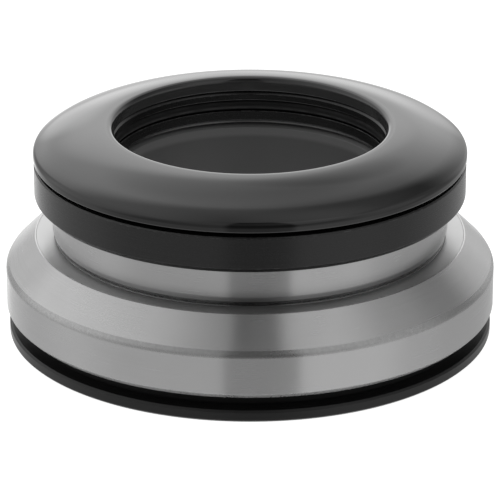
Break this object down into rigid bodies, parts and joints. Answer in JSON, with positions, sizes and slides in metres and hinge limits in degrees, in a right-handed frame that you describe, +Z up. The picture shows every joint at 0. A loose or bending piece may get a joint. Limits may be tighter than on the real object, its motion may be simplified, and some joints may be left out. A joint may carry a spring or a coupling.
{
  "type": "bicycle headset",
  "caption": "Tapered integrated bicycle headset: black domed cover and dust cover over a small angular contact bearing nested in a larger one, on a flanged crown race.",
  "frame": {"origin": "centre of the crown race's bottom face, on the steering axis", "axes": "+Z up the steering axis towards the stem; the compression ring's slit faces -Y"},
  "size_m": [0.0518, 0.0518, 0.0227],
  "materials": {
    "gloss_cover": "high gloss black lacquer",
    "black_anodised": "satin black anodised",
    "ring_alloy": "matt dark grey anodised",
    "crown_alloy": "satin black anodised",
    "race_steel": "ground stainless steel",
    "shield_steel": "pressed stainless sheet",
    "ball_steel": "polished steel",
    "cage_nylon": "moulded nylon",
    "seal_rubber": "matt black rubber"
  },
  "bodies": {
    "fork_side": {"crown_race": "crown_alloy", "crown_seal": "seal_rubber", "lower_inner_race": "race_steel", "lower_bottom_shield": "shield_steel", "upper_outer_race": "race_steel", "upper_bottom_shield": "shield_steel"},
    "lower_ring": {"lower_outer_race": "race_steel", "lower_top_shield": "shield_steel"},
    "lower_cage": {"lower_ball_cage": "cage_nylon", "lower_balls": "ball_steel"},
    "steerer_side": {"upper_inner_race": "race_steel", "upper_top_shield": "shield_steel", "compression_ring": "ring_alloy", "shim_washer": "shield_steel", "dust_cover": "black_anodised", "steerer_o_ring": "seal_rubber", "skirt_seal": "seal_rubber", "top_cover": "gloss_cover"},
    "upper_cage": {"upper_ball_cage": "cage_nylon", "upper_balls": "ball_steel"}
  },
  "joints": [
    {"name": "lower_bearing_turn", "type": "hinge", "parent": "fork_side", "child": "lower_ring", "pos_m": [0, 0, 0.0066], "axis": [0, 0, 1], "continuous": true},
    {"name": "lower_cage_turn", "type": "hinge", "parent": "fork_side", "child": "lower_cage", "pos_m": [0, 0, 0.0066], "axis": [0, 0, 1], "continuous": true},
    {"name": "upper_bearing_turn", "type": "hinge", "parent": "fork_side", "child": "steerer_side", "pos_m": [0, 0, 0.01223], "axis": [0, 0, 1], "continuous": true},
    {"name": "upper_cage_turn", "type": "hinge", "parent": "fork_side", "child": "upper_cage", "pos_m": [0, 0, 0.01223], "axis": [0, 0, 1], "continuous": true}
  ],
  "couplings": [
    {"joint": "lower_cage_turn", "follows": "lower_bearing_turn", "ratio": 0.52446},
    {"joint": "upper_cage_turn", "follows": "upper_bearing_turn", "ratio": 0.46895}
  ]
}
